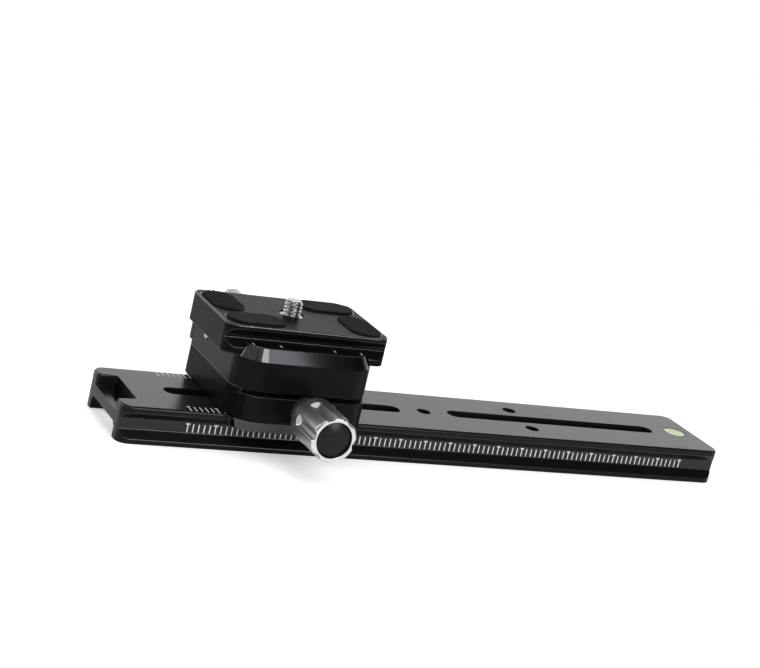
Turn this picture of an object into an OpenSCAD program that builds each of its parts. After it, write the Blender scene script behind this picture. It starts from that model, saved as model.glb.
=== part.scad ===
// Nodal slide rail: a long dovetail rail, a double clamp that rides on it and a camera plate.
// Millimetres. The origin is the middle of the rail's underside, +X runs along the rail to the
// end with the bubble level, -Y is the side of the ruler and of the lower knob, and +Z is up.

/* [Dovetail] */
// Width across the dovetail edges, the same on the rail and on the camera plate
dovetail_w = 38; // [34:1:46]
// Height of the straight edge of a gripped dovetail flange
dovetail_edge = 2.2; // [1.8:0.1:2.8]
// Depth of the V groove cut into each side of the rail and of the plate
dovetail_depth = 2.6; // [2:0.1:3]

/* [Rail] */
// Length of the rail
rail_l = 240; // [230:5:320]
// Height of the rail
rail_h = 13; // [12.5:0.5:16]
// Radius of the rail's four corners seen from above
rail_corner_r = 4; // [2:0.5:6]
// Height of the straight edge of the rail's lower flange
foot_edge = 1.7; // [1.2:0.1:2.2]
// Width of the channel in the rail's underside
channel_w = 26; // [20:1:28]
// Depth of the channel in the rail's underside
channel_h = 5; // [2:0.5:5]
// Size of the slopes in the channel's upper corners
channel_chamfer = 1.5; // [0.5:0.5:2]

/* [Rail openings] */
// Width of the two long slots
slot_w = 6.5; // [5:0.5:8]
// Length of each long slot, end to end
slot_l = 90; // [60:5:95]
// Distance between the facing ends of the two slots
slot_gap = 20; // [12:2:24]
// Diameter of the tapped holes, before the thread
tapped_d = 5.1; // [4:0.1:6]
// Distance of each side hole from the middle of the rail
side_hole_x = 41; // [30:1:60]
// Distance of each side hole from the rail's long centre line
side_hole_y = 9.2; // [8:0.2:11]
// Width of the notch in the left end
notch_w = 22; // [16:1:24]
// Length of the notch along the rail
notch_l = 7; // [6:0.5:9]
// Radius of the notch's inner corners
notch_r = 2; // [1:0.5:3]
// Radius of the notch's mouth in the rail's end
mouth_r = 1.5; // [0.5:0.5:2.5]
// Depth of the notch below the rail's top
notch_h = 4.1; // [3:0.1:5]
// Thickness of the bar that is left across the notch
strap_bar_t = 2.8; // [1.5:0.1:3]
// Radius of the corners of the opening behind the bar
strap_slot_r = 1.2; // [0.5:0.1:1.4]

/* [Bubble level] */
// Diameter of the level's cup
level_d = 9.6; // [8:0.2:11]
// Height of the level's cup
level_h = 6; // [5:0.5:7]
// Distance of the level's centre from the right end of the rail
level_end = 8.8; // [7:0.2:10]
// Wall of the level's cup
level_wall = 0.4; // [0.3:0.1:0.6]
// Wall of the clear vial round the liquid
vial_wall = 0.6; // [0.5:0.1:0.9]

/* [Double clamp] */
// Length of both clamps along the rail
clamp_l = 50; // [44:1:60]
// Distance of the clamps' centre from the left end of the rail at rest
clamp_place = 60; // [30:5:180]
// Thickness of each clamp from the shared seam to the dovetail seat
base_h = 10.5; // [10:0.5:13]
// How far the jaws reach past the dovetail seat
jaw_reach = 4; // [3.6:0.1:4.4]
// Thickness of the fixed jaw outside the dovetail edge
jaw_t = 6; // [5:0.5:8]
// How far the clamp body stops short of the full width on the side of the moving jaw
body_setback = 3; // [2:0.5:4]
// Gap between the clamp body and the moving jaw when clamped
jaw_gap = 0.6; // [0.4:0.1:1]
// How far the clamped moving jaw stands proud of the clamp's outline
jaw_proud = 1.5; // [1:0.1:2]
// Gap between the moving jaw and the seam plane of the two clamps
jaw_lift = 1.3; // [0.8:0.1:2]
// Travel of the moving jaw from clamped to open
jaw_travel = 2.5; // [2:0.1:3]
// Radius of the corners at the front of both clamps
front_r = 9.5; // [6:0.5:11]
// Radius of the lower clamp's corners at the back
lower_back_r = 4; // [2.5:0.5:6]
// Radius of the upper jaw's corners at the back
upper_back_r = 2.5; // [2.5:0.5:6]
// How far the bevel cuts into the top of the jaws
bevel_in = 2.4; // [1.5:0.1:2.4]
// Height of the bevel on the jaws
bevel_h = 4.2; // [3:0.1:5]

/* [Knobs] */
// Diameter of the fluted head
knob_d = 15.8; // [15:0.2:18]
// Length of the fluted head
knob_l = 18.6; // [14:0.2:22]
// Diameter of the knob's neck
neck_d = 10; // [9:0.5:11]
// Length of the neck, with the flare to the head
neck_l = 7; // [5:0.5:9]
// Length of the flare from the neck to the head
flare_l = 1.8; // [1:0.1:2.5]
// Number of flutes round the head
flute_count = 6; // [5:1:7]
// Radius of a flute
flute_r = 2.4; // [1.8:0.1:3]
// Depth of a flute
flute_depth = 1.1; // [0.8:0.1:1.4]
// Length of the plain band between the neck and the flutes
flute_band = 4.2; // [3:0.2:6]
// Length of the sloping end of a flute
flute_runout = 1.8; // [1:0.2:2.4]
// Turn of the first flute of each knob from +X, in degrees
flute_phase = 51; // [0:1:60]
// Chamfer round the rim of the head
rim_chamfer = 0.5; // [0.3:0.1:1]
// Diameter of the cap in the end of the head
cap_d = 12.4; // [11:0.2:12.8]
// Thickness of the cap
cap_t = 2; // [1.6:0.1:3]
// Height of the dome on the cap
dome_h = 1; // [0.4:0.1:1.3]
// Distance of the knobs' axes from the seam plane
knob_h = 4.9; // [4.6:0.1:5.2]
// Diameter of the clamp screw behind the knob
stud_d = 6; // [5:0.5:6]
// Length of the clamp screw inside the clamp body
stud_in = 16; // [14:1:17]
// Thickness of the thrust washer under the neck
washer_t = 0.6; // [0.4:0.1:1]
// Diameter of the retaining clip at the inner end of the screw
clip_d = 8; // [7:0.2:8.4]
// Thickness of the retaining clip
clip_t = 0.8; // [0.6:0.1:1]

/* [Guide pins and springs] */
// Diameter of the guide pins
pin_d = 3; // [2:0.5:3]
// Distance of the guide pins from the middle of the clamp
pin_x = 15; // [12:0.5:16]
// Length of the guide pins inside the clamp body
pin_in = 12; // [9:0.5:13]
// Diameter of a jaw spring over its coils
spring_d = 5.2; // [4.6:0.1:5.4]
// Diameter of the spring wire
wire_d = 0.5; // [0.4:0.05:0.6]
// Depth of the spring's pocket in the clamp body
spring_pocket = 6; // [5:0.5:7]
// Turns of a jaw spring
spring_turns = 5; // [4:1:6]

/* [Clamp joint] */
// Distance of the joining screws from the middle of the clamp
joint_x = 14; // [11:0.5:18]
// Diameter of the joining screws
joint_d = 4; // [3:0.5:5]
// Length of the joining screws below the seam plane
joint_in = 7; // [5:0.5:8]
// How far the joining screws' heads lie below the plate's seat
joint_sink = 0.3; // [0.2:0.1:0.6]
// Distance of the locating dowels from the middle of the clamp
dowel_x = 7.4; // [7:0.1:8]
// Diameter of the locating dowels
dowel_d = 2.5; // [2:0.5:3]
// Length of the locating dowels
dowel_l = 8; // [6:1:12]

/* [Camera plate] */
// How far the plate reaches past each side of the clamp at rest
plate_over = 5; // [5:0.5:14]
// Thickness of the plate
plate_h = 10; // [9.6:0.2:12]
// Height of the straight edge at the top of the plate
plate_edge = 1.5; // [1:0.1:2]
// Radius of the plate's corners seen from above
plate_corner_r = 4; // [2:0.5:6]
// Length of a grip pad
pad_l = 21; // [18:0.5:21]
// Width of a grip pad
pad_w = 11.8; // [9:0.2:11.8]
// Thickness of a grip pad
pad_t = 1.2; // [1:0.1:2]
// How far a grip pad stands proud of the plate
pad_proud = 0.6; // [0.3:0.1:0.8]
// Distance of a pad from the plate's nearest edge
pad_margin = 1.4; // [1.2:0.1:2]
// How much further the two lengthwise pads lie from the plate's ends
pad_inset = 0.6; // [0.3:0.1:1.5]
// Diameter of the camera screw's thread
camera_screw_d = 6.35; // [6:0.05:9.5]
// How far the camera screw stands out of the plate
camera_screw_out = 5; // [4:0.5:6]
// Diameter of the camera screw's head
screw_head_d = 12; // [11:0.5:14]
// Height of the camera screw's head
screw_head_h = 3; // [2.5:0.1:3.5]
// Diameter of the ring that keeps the camera screw in the plate
keeper_d = 8.4; // [8:0.2:12]
// Thickness of that ring
keeper_t = 0.7; // [0.5:0.1:1]
// Diameter of the stop screw's head under the left end of the plate
stop_head_d = 4.4; // [3.6:0.1:4.6]
// Height of the stop screw's head
stop_head_h = 1.8; // [1.4:0.1:2.2]
// Diameter of the stop screw's thread
stop_screw_d = 3; // [2:0.5:3]
// Length of the stop screw's thread
stop_screw_l = 5; // [3:0.5:6]

/* [Fits] */
// Gap between a dovetail and the jaws beside it
slide_fit = 0.15; // [0.1:0.05:0.3]
// Gap between a dovetail and its seat
seat_fit = 0.1; // [0.05:0.05:0.2]
// Radial gap of a screw or a pin that turns or slides
run_fit = 0.08; // [0.05:0.01:0.1]
// Radial gap of a piece that is set in place for good
set_fit = 0.03; // [0.02:0.01:0.05]
// Gap on each side of the thrust washer under the knob
washer_gap = 0.02; // [0.01:0.01:0.05]
// Gap between the stop screw's head and the left side of the upper clamp
stop_gap = 0.3; // [0.2:0.1:0.6]
// Gap round a grip pad in its pocket
pad_fit = 0.05; // [0.03:0.01:0.1]

/* [Hidden] */
$fn = 64;

// Overlap that keeps cutting shapes clear of the faces that they cut
cut = 1;
clamp_x = clamp_place - rail_l / 2;
plate_l = clamp_l + 2 * plate_over;
half_w = dovetail_w / 2;
groove_in = half_w - dovetail_depth;
clamp_half = half_w + jaw_t;
clamp_h = base_h + jaw_reach;
// Face of the clamp body beside the moving jaw, and both faces of that jaw
body_face = clamp_half - body_setback;
jaw_inner = body_face + jaw_gap;
jaw_outer = clamp_half + jaw_proud;
// Heights of the seam between the two clamps and of the plate's seat
seam_z = rail_h + seat_fit + base_h;
plate_z = seam_z + base_h + seat_fit;
// The clamp screw's inner end and its clip
stud_r = stud_d / 2;
stud_end = body_face - stud_in;
screw_tip = 0.8;
clip_y = stud_end + screw_tip;
clip_groove_r = stud_r - 0.6;
// Room round the clip in its pocket: at its sides, above it, and at both ends of its travel
clip_side_gap = 0.5;
clip_top_gap = 0.3;
clip_end_gap = 0.6;
clip_pocket_y = stud_end - clip_end_gap;
clip_pocket_end = clip_y + clip_t + jaw_travel + clip_end_gap;
knob_r = knob_d / 2;
knob_total = neck_l + knob_l;
knob_bore_l = neck_l + 9;
cap_pocket_h = cap_t + 0.1;
pin_r = pin_d / 2;
spring_r = spring_d / 2;
wire_r = wire_d / 2;
spring_hole_r = spring_r + 0.2;
spring_end_gap = 0.1;
spring_l = spring_pocket + jaw_gap - 2 * spring_end_gap;
// The joining screws' countersunk heads and the hexagon sockets in them
joint_head_r = joint_d;
joint_head_h = joint_d / 2;
joint_socket_d = joint_d * 0.72;
joint_socket_h = 1.9;
dowel_r = dowel_d / 2;
camera_hole_r = camera_screw_d / 2 + run_fit;
// Room below and above the camera screw's head, round it and round its keeper ring
head_gap = 0.3;
head_play = 0.2;
pocket_gap = 0.3;
head_pocket_h = screw_head_h + head_gap + head_play;
keeper_pocket_h = keeper_t + 0.6;
keeper_groove_r = camera_screw_d / 2 - 0.4;
screw_point = 0.6;
coin_slot_w = 1.6;
coin_slot_h = 1.4;
stop_x = clamp_l / 2 + stop_head_d / 2 + stop_gap;
// Bed of glue under a grip pad
pad_bed = 0.01;
level_x = rail_l / 2 - level_end;
level_r = level_d / 2;

// Outline of a double dovetail seen from its end, in (y, z)
function dovetail_points(height, low_edge, high_edge) = [
    [-half_w, 0], [half_w, 0],
    [half_w, low_edge], [groove_in, low_edge + dovetail_depth],
    [groove_in, height - high_edge - dovetail_depth], [half_w, height - high_edge],
    [half_w, height], [-half_w, height],
    [-half_w, height - high_edge], [-groove_in, height - high_edge - dovetail_depth],
    [-groove_in, low_edge + dovetail_depth], [-half_w, low_edge]];

// Extrudes a (y, z) outline along X, centred on X = 0
module along_x(length) {
    rotate([90, 0, 90]) linear_extrude(length, center = true) children();
}

// Turns a shape made along +Z so that it points along +Y
module along_y() {
    rotate([-90, 0, 0]) children();
}

// Slab with round corners seen from above, centred on X = 0 and Y = 0
module rounded_slab(length, width, height, r) {
    linear_extrude(height) {
        square([length - 2 * r, width], center = true);
        square([length, width - 2 * r], center = true);
        for (sx = [-1, 1], sy = [-1, 1])
            translate([sx * (length / 2 - r), sy * (width / 2 - r)]) circle(r);
    }
}

// Block with two round ends, its long side along X
module stadium(length, width, height) {
    linear_extrude(height) {
        square([length - width, width], center = true);
        for (s = [-1, 1]) translate([s * (length - width) / 2, 0]) circle(width / 2);
    }
}

// Straight length of double dovetail with round corners
module dovetail_bar(length, height, low_edge, high_edge, corner_r) {
    intersection() {
        along_x(length) polygon(dovetail_points(height, low_edge, high_edge));
        rounded_slab(length, dovetail_w, height, corner_r);
    }
}

// Outline of the channel below the rail, with its sloped upper corners, in (y, z)
function channel_points() = let (w = channel_w / 2, c = channel_chamfer) [
    [-w, -cut], [-w, channel_h - c], [c - w, channel_h],
    [w - c, channel_h], [w, channel_h - c], [w, -cut]];

// Rail: grooves along both sides, a channel below, slots, tapped holes and the end notch
module rail_body() {
    color("dimgray")
    difference() {
        dovetail_bar(rail_l, rail_h, foot_edge, dovetail_edge, rail_corner_r);
        along_x(rail_l + 2 * cut) polygon(channel_points());
        for (s = [-1, 1]) translate([s * (slot_gap + slot_l) / 2, 0, 0])
            stadium(slot_l, slot_w, rail_h + cut);
        cylinder(d = tapped_d, h = rail_h + cut);
        for (sx = [-1, 1], sy = [-1, 1]) translate([sx * side_hole_x, sy * side_hole_y, 0])
            cylinder(d = tapped_d, h = rail_h + cut);
        end_notch();
        translate([level_x, 0, rail_h - level_h]) cylinder(r = level_r + set_fit, h = level_h + cut);
    }
}

// Notch in the left end, its rounded mouth, and the opening behind the bar left across it
module end_notch() {
    translate([-rail_l / 2, 0, 0]) {
        translate([0, 0, rail_h - notch_h]) {
            rounded_slab(2 * notch_l, notch_w, notch_h + cut, notch_r);
            for (s = [0, 1]) mirror([0, s, 0]) translate([0, notch_w / 2, 0])
                linear_extrude(notch_h + cut) difference() {
                    translate([-cut, -cut]) square(mouth_r + cut);
                    translate([mouth_r, mouth_r]) circle(mouth_r);
                }
        }
        translate([(strap_bar_t + notch_l) / 2, 0, 0])
            rounded_slab(notch_l - strap_bar_t, notch_w, rail_h, strap_slot_r);
    }
}

// Round level: a thin cup, a clear vial and the liquid with its bubble
module level_cup() {
    color("black")
    translate([level_x, 0, rail_h - level_h]) difference() {
        cylinder(r = level_r, h = level_h);
        translate([0, 0, level_wall]) cylinder(r = level_r - level_wall, h = level_h);
    }
}

module level_vial() {
    vial_r = level_r - level_wall - set_fit;
    vial_h = level_h - level_wall - 2 * set_fit;
    color("palegreen", 0.5)
    translate([level_x, 0, rail_h - level_h + level_wall + set_fit]) difference() {
        cylinder(r = vial_r, h = vial_h);
        translate([0, 0, vial_wall]) cylinder(r = vial_r - vial_wall, h = vial_h - 2 * vial_wall);
    }
}

module level_liquid() {
    liquid_r = level_r - level_wall - vial_wall - 2 * set_fit;
    liquid_h = level_h - level_wall - 2 * vial_wall - 4 * set_fit;
    bubble_r = liquid_r * 0.36;
    color("yellowgreen")
    translate([level_x, 0, rail_h - level_h + level_wall + vial_wall + 2 * set_fit]) difference() {
        cylinder(r = liquid_r, h = liquid_h);
        translate([0, 0, liquid_h]) sphere(bubble_r);
    }
}

// A clamp is drawn with its seam plane at z = 0, its jaws up and its moving jaw on the +Y side
module at_upper() {
    translate([clamp_x, 0, seam_z]) children();
}

module at_lower() {
    translate([clamp_x, 0, seam_z]) rotate([180, 0, 0]) children();
}

// Outer block of a clamp with round corners and a bevel all round its jaws
module clamp_block(fixed_r, moving_r) {
    straight_h = clamp_h - bevel_h;
    moving_y = clamp_half - moving_r;
    fixed_y = fixed_r - clamp_half;
    linear_extrude(straight_h) {
        translate([-clamp_l / 2, fixed_y]) square([clamp_l, moving_y - fixed_y]);
        translate([moving_r - clamp_l / 2, 0]) square([clamp_l - 2 * moving_r, clamp_half]);
        translate([fixed_r - clamp_l / 2, -clamp_half]) square([clamp_l - 2 * fixed_r, clamp_half]);
        for (s = [-1, 1]) {
            translate([s * (clamp_l / 2 - moving_r), moving_y]) circle(moving_r);
            translate([s * (clamp_l / 2 - fixed_r), fixed_y]) circle(fixed_r);
        }
    }
    translate([0, 0, straight_h]) {
        translate([0, (moving_y + fixed_y) / 2, 0]) rotate([90, 0, 0])
            linear_extrude(moving_y - fixed_y, center = true) polygon([
                [-clamp_l / 2, 0], [clamp_l / 2, 0],
                [clamp_l / 2 - bevel_in, bevel_h], [bevel_in - clamp_l / 2, bevel_h]]);
        bevel_side(clamp_l - 2 * moving_r, 1);
        bevel_side(clamp_l - 2 * fixed_r, -1);
        for (s = [-1, 1]) {
            translate([s * (clamp_l / 2 - moving_r), moving_y])
                cylinder(r1 = moving_r, r2 = moving_r - bevel_in, h = bevel_h);
            translate([s * (clamp_l / 2 - fixed_r), fixed_y])
                cylinder(r1 = fixed_r, r2 = fixed_r - bevel_in, h = bevel_h);
        }
    }
}

// Bevelled half of the block between two corners, on the side that s names
module bevel_side(length, s) {
    along_x(length) polygon([
        [0, 0], [s * clamp_half, 0], [s * (clamp_half - bevel_in), bevel_h], [0, bevel_h]]);
}

// Space that a dovetail and its sliding gap take on one side of a clamp
module dovetail_space(s) {
    edge_y = half_w + slide_fit;
    edge_z = base_h + seat_fit + dovetail_edge;
    over = clamp_h + cut - edge_z;
    along_x(2 * clamp_l) polygon([
        [0, base_h], [s * edge_y, base_h], [s * edge_y, edge_z],
        [s * (edge_y - over), edge_z + over], [0, edge_z + over]]);
}

// Clamp body: base and fixed jaw, with the bores for the screw, the pins and the springs
module clamp_body(fixed_r, moving_r) {
    difference() {
        clamp_block(fixed_r, moving_r);
        translate([-clamp_l, body_face, -cut]) cube([2 * clamp_l, clamp_half, clamp_h + 2 * cut]);
        dovetail_space(-1);
        translate([-clamp_l, 0, base_h]) cube([2 * clamp_l, clamp_half, clamp_h]);
        translate([0, clip_pocket_end - cut, knob_h])
            along_y() cylinder(r = stud_r + run_fit, h = body_face);
        translate([-clip_d / 2 - clip_side_gap, clip_pocket_y, -cut])
            cube([clip_d + 2 * clip_side_gap, clip_pocket_end - clip_pocket_y,
                knob_h + clip_d / 2 + clip_top_gap + cut]);
        for (s = [-1, 1]) translate([s * pin_x, 0, knob_h]) along_y() {
            translate([0, 0, body_face - pin_in - 0.5]) cylinder(r = pin_r + run_fit, h = body_face);
            translate([0, 0, body_face - spring_pocket]) cylinder(r = spring_hole_r, h = body_face);
        }
    }
}

// Moving jaw: a slab beside the body and a lip that reaches over the dovetail
module moving_jaw(moving_r) {
    lip_gap = 0.3;
    difference() {
        intersection() {
            translate([0, jaw_proud, 0]) clamp_block(moving_r, moving_r);
            union() {
                translate([-clamp_l, jaw_inner, jaw_lift]) cube([2 * clamp_l, clamp_half, clamp_h]);
                translate([-clamp_l, groove_in, base_h + lip_gap])
                    cube([2 * clamp_l, clamp_half, clamp_h]);
            }
        }
        dovetail_space(1);
        translate([0, 0, knob_h]) along_y() cylinder(r = stud_r + run_fit, h = 2 * clamp_half);
        for (s = [-1, 1]) translate([s * pin_x, jaw_inner - cut, knob_h])
            along_y() cylinder(r = pin_r + set_fit, h = pin_in_jaw() + cut + 0.1);
    }
}

// Depth to which a guide pin is set in the moving jaw
function pin_in_jaw() = jaw_outer - jaw_inner - 0.8;

module guide_pins() {
    for (s = [-1, 1]) translate([s * pin_x, body_face - pin_in, knob_h])
        along_y() cylinder(r = pin_r, h = pin_in + jaw_gap + pin_in_jaw());
}

// Point and frame of the spring wire at turn fraction t, for a coil that rises along +Z
function coil_angle(t) = 360 * spring_turns * t;
function coil_point(t) = let (a = coil_angle(t), r = spring_r - wire_r)
    [r * cos(a), r * sin(a), wire_r + (spring_l - wire_d) * t];
function coil_ring(t) = let (a = coil_angle(t), p = coil_point(t))
    [for (k = [0:5]) p + wire_r * [cos(60 * k) * cos(a), cos(60 * k) * sin(a), sin(60 * k)]];

// Compression spring as one unbroken tube
module jaw_spring() {
    rings = spring_turns * 8;
    points = [for (i = [0:rings]) each coil_ring(i / rings)];
    sides = [for (i = [0:rings - 1], k = [0:5]) let (a = 6 * i + k, b = 6 * i + (k + 1) % 6)
        each [[a, b, b + 6], [a, b + 6, a + 6]]];
    first_cap = [for (k = [1:4]) [0, k + 1, k]];
    last = 6 * rings;
    last_cap = [for (k = [1:4]) [last, last + k, last + k + 1]];
    polyhedron(points, concat(sides, first_cap, last_cap));
}

module jaw_springs() {
    for (s = [-1, 1]) translate([s * pin_x, body_face - spring_pocket + spring_end_gap, knob_h])
        along_y() jaw_spring();
}

// Least gap between the turns of a spring, measured on the points of its centre line
coil_line = [for (i = [0:8 * spring_turns]) coil_point(i / (8 * spring_turns))];
echo(spring_gap = min([for (i = [0:len(coil_line) - 5], k = [i + 4:len(coil_line) - 1])
    norm(coil_line[i] - coil_line[k])]) - wire_d);

module lower_clamp_body() {
    color("dimgray")
    at_lower() difference() {
        clamp_body(lower_back_r, front_r);
        for (s = [-1, 1]) {
            translate([s * joint_x, 0, -cut])
                cylinder(r = joint_d / 2 + set_fit, h = joint_in + cut + 0.5);
            translate([s * dowel_x, 0, -cut])
                cylinder(r = dowel_r + set_fit, h = dowel_l / 2 + cut + 0.1);
        }
    }
}

module upper_clamp_body() {
    color("dimgray")
    at_upper() difference() {
        clamp_body(front_r, upper_back_r);
        for (s = [-1, 1]) {
            translate([s * joint_x, 0, 0]) {
                translate([0, 0, -cut]) cylinder(r = joint_d / 2 + set_fit, h = base_h + 2 * cut);
                translate([0, 0, base_h - joint_head_h - joint_sink])
                    cylinder(r1 = joint_d / 2 + set_fit, r2 = joint_head_r + set_fit, h = joint_head_h);
                translate([0, 0, base_h - joint_sink]) cylinder(r = joint_head_r + set_fit, h = cut);
            }
            translate([s * dowel_x, 0, -cut])
                cylinder(r = dowel_r + set_fit, h = dowel_l / 2 + cut + 0.1);
        }
    }
}

// Countersunk screws that join the two clamps back to back
module joint_screws() {
    color("darkslategray")
    at_upper() for (s = [-1, 1]) translate([s * joint_x, 0, 0]) difference() {
        union() {
            translate([0, 0, -joint_in]) cylinder(d = joint_d, h = joint_in + base_h - 1);
            translate([0, 0, base_h - joint_head_h - joint_sink])
                cylinder(r1 = joint_d / 2, r2 = joint_head_r, h = joint_head_h);
        }
        translate([0, 0, base_h - joint_sink - joint_socket_h])
            cylinder(d = joint_socket_d, h = joint_socket_h + cut, $fn = 6);
    }
}

module joint_dowels() {
    color("silver")
    at_upper() for (s = [-1, 1]) translate([s * dowel_x, 0, -dowel_l / 2])
        cylinder(r = dowel_r, h = dowel_l);
}

module lower_jaw() {
    color("dimgray") at_lower() moving_jaw(front_r);
}

module upper_jaw() {
    color("dimgray") at_upper() moving_jaw(upper_back_r);
}

module lower_guide_pins() {
    color("silver") at_lower() guide_pins();
}

module upper_guide_pins() {
    color("silver") at_upper() guide_pins();
}

module lower_jaw_springs() {
    color("silver") at_lower() jaw_springs();
}

module upper_jaw_springs() {
    color("silver") at_upper() jaw_springs();
}

// The knob set is drawn along +Z from the outer face of the moving jaw
module on_knob_axis() {
    translate([0, jaw_outer, knob_h]) along_y() children();
}

// Space cut by one flute, with its sloping end
module flute_space() {
    slope = flute_runout / flute_depth;
    inner = knob_r - flute_depth - cut;
    outer = knob_r + cut;
    start = neck_l + flute_band;
    intersection() {
        translate([knob_r - flute_depth + flute_r, 0, 0]) cylinder(r = flute_r, h = knob_total + cut);
        rotate([90, 0, 0]) linear_extrude(3 * flute_r, center = true) polygon([
            [inner, start + (knob_r - inner) * slope], [inner, knob_total + cut],
            [outer, knob_total + cut], [outer, start + (knob_r - outer) * slope]]);
    }
}

module knob() {
    translate([0, 0, washer_t + washer_gap]) difference() {
        rotate_extrude() polygon([
            [stud_r + set_fit, 0], [neck_d / 2 - 0.3, 0], [neck_d / 2, 0.3],
            [neck_d / 2, neck_l - flare_l], [knob_r - 0.2, neck_l], [knob_r, neck_l + 0.4],
            [knob_r, knob_total - rim_chamfer], [knob_r - rim_chamfer, knob_total],
            [cap_d / 2 + set_fit, knob_total], [cap_d / 2 + set_fit, knob_total - cap_pocket_h],
            [0, knob_total - cap_pocket_h], [0, knob_bore_l], [stud_r + set_fit, knob_bore_l]]);
        for (i = [0:flute_count - 1]) rotate(flute_phase + 360 / flute_count * i) flute_space();
    }
}

module knob_cap() {
    dome_r = (cap_d * cap_d / 4 + dome_h * dome_h) / (2 * dome_h);
    translate([0, 0, washer_t + washer_gap + knob_total - cap_t]) intersection() {
        cylinder(d = cap_d, h = cap_t);
        translate([0, 0, cap_t - dome_r]) sphere(dome_r, $fn = 128);
    }
}

// Clamp screw: from the clip in the body, through the jaw, to its seat in the knob
module clamp_screw() {
    out = washer_t + washer_gap + knob_bore_l - 0.1;
    difference() {
        translate([0, 0, stud_end - jaw_outer]) cylinder(r = stud_r, h = jaw_outer - stud_end + out);
        translate([0, 0, clip_y - jaw_outer]) difference() {
            cylinder(r = stud_r + cut, h = clip_t);
            translate([0, 0, -cut]) cylinder(r = clip_groove_r, h = clip_t + 2 * cut);
        }
    }
}

module screw_clip() {
    translate([0, 0, clip_y - jaw_outer + set_fit]) difference() {
        cylinder(d = clip_d, h = clip_t - 2 * set_fit);
        translate([0, 0, -cut]) cylinder(r = clip_groove_r + set_fit, h = clip_t + 2 * cut);
    }
}

module thrust_washer() {
    translate([0, 0, washer_gap]) difference() {
        cylinder(d = neck_d, h = washer_t - washer_gap);
        translate([0, 0, -cut]) cylinder(r = stud_r + set_fit, h = washer_t + 2 * cut);
    }
}

module lower_knob() {
    color("silver") at_lower() on_knob_axis() knob();
}

module lower_knob_cap() {
    color("black") at_lower() on_knob_axis() knob_cap();
}

module lower_clamp_screw() {
    color("lightgray") at_lower() on_knob_axis() clamp_screw();
}

module lower_screw_clip() {
    color("darkgray") at_lower() on_knob_axis() screw_clip();
}

module lower_thrust_washer() {
    color("dimgray") at_lower() on_knob_axis() thrust_washer();
}

module upper_knob() {
    color("silver") at_upper() on_knob_axis() knob();
}

module upper_knob_cap() {
    color("black") at_upper() on_knob_axis() knob_cap();
}

module upper_clamp_screw() {
    color("lightgray") at_upper() on_knob_axis() clamp_screw();
}

module upper_screw_clip() {
    color("darkgray") at_upper() on_knob_axis() screw_clip();
}

module upper_thrust_washer() {
    color("dimgray") at_upper() on_knob_axis() thrust_washer();
}

// The plate is drawn from its seat in the upper clamp
module at_plate() {
    translate([clamp_x, 0, plate_z]) children();
}

// Places of the four grip pads, turned like the sails of a windmill round the camera screw
module at_pads() {
    for (turn = [0, 180]) rotate(turn) {
        translate([pad_margin + pad_w / 2 - plate_l / 2, half_w - pad_margin - pad_l / 2, 0])
            rotate(90) children();
        translate([pad_margin + pad_inset + pad_l / 2 - plate_l / 2, pad_margin + pad_w / 2 - half_w, 0])
            children();
    }
}

module plate_body() {
    color("dimgray")
    at_plate() difference() {
        dovetail_bar(plate_l, plate_h, dovetail_edge, plate_edge, plate_corner_r);
        translate([0, 0, -cut]) cylinder(r = camera_hole_r, h = plate_h + 2 * cut);
        translate([0, 0, -cut]) cylinder(r = screw_head_d / 2 + pocket_gap, h = head_pocket_h + cut);
        translate([0, 0, plate_h - keeper_pocket_h])
            cylinder(r = keeper_d / 2 + pocket_gap, h = keeper_pocket_h + cut);
        translate([0, 0, plate_h + pad_proud - pad_t]) at_pads() stadium(pad_l, pad_w, pad_t);
        translate([-stop_x, 0, -cut])
            cylinder(r = stop_screw_d / 2 + set_fit, h = stop_screw_l + cut + 0.2);
    }
}

module plate_pads() {
    color("darkslategray")
    at_plate() translate([0, 0, plate_h + pad_proud - pad_t + pad_bed])
        at_pads() stadium(pad_l - 2 * pad_fit, pad_w - 2 * pad_fit, pad_t - pad_bed);
}

// Button screw under the left end that keeps the plate from sliding through the clamp
module plate_stop_screw() {
    head_r = stop_head_d / 2;
    color("lightgray")
    at_plate() translate([-stop_x, 0, 0]) difference() {
        union() {
            translate([0, 0, -stop_head_h / 2])
                cylinder(d = stop_screw_d, h = stop_screw_l + stop_head_h / 2);
            rotate([180, 0, 0]) rotate_extrude() polygon([
                [0, 0.02], [head_r, 0.02], [head_r, stop_head_h * 0.35],
                [head_r * 0.92, stop_head_h * 0.7], [head_r * 0.7, stop_head_h], [0, stop_head_h]]);
        }
        translate([0, 0, -stop_head_h - cut]) cylinder(d = stop_head_d * 0.42, h = cut + 1, $fn = 6);
    }
}

// Camera screw with a coin slot in its head, captive in the plate
module camera_screw() {
    neck_z = plate_h - keeper_pocket_h + head_play;
    color("lightgray")
    at_plate() difference() {
        union() {
            translate([0, 0, head_gap]) cylinder(d = screw_head_d, h = screw_head_h);
            translate([0, 0, head_gap])
                cylinder(d = camera_screw_d, h = plate_h + camera_screw_out - head_gap - screw_point);
            translate([0, 0, plate_h + camera_screw_out - screw_point])
                cylinder(d1 = camera_screw_d, d2 = camera_screw_d - 2 * screw_point, h = screw_point);
        }
        translate([-screw_head_d, -coin_slot_w / 2, head_gap - cut])
            cube([2 * screw_head_d, coin_slot_w, cut + coin_slot_h]);
        translate([0, 0, neck_z]) difference() {
            cylinder(d = camera_screw_d + cut, h = keeper_t);
            translate([0, 0, -cut]) cylinder(r = keeper_groove_r, h = keeper_t + 2 * cut);
        }
    }
}

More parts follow.
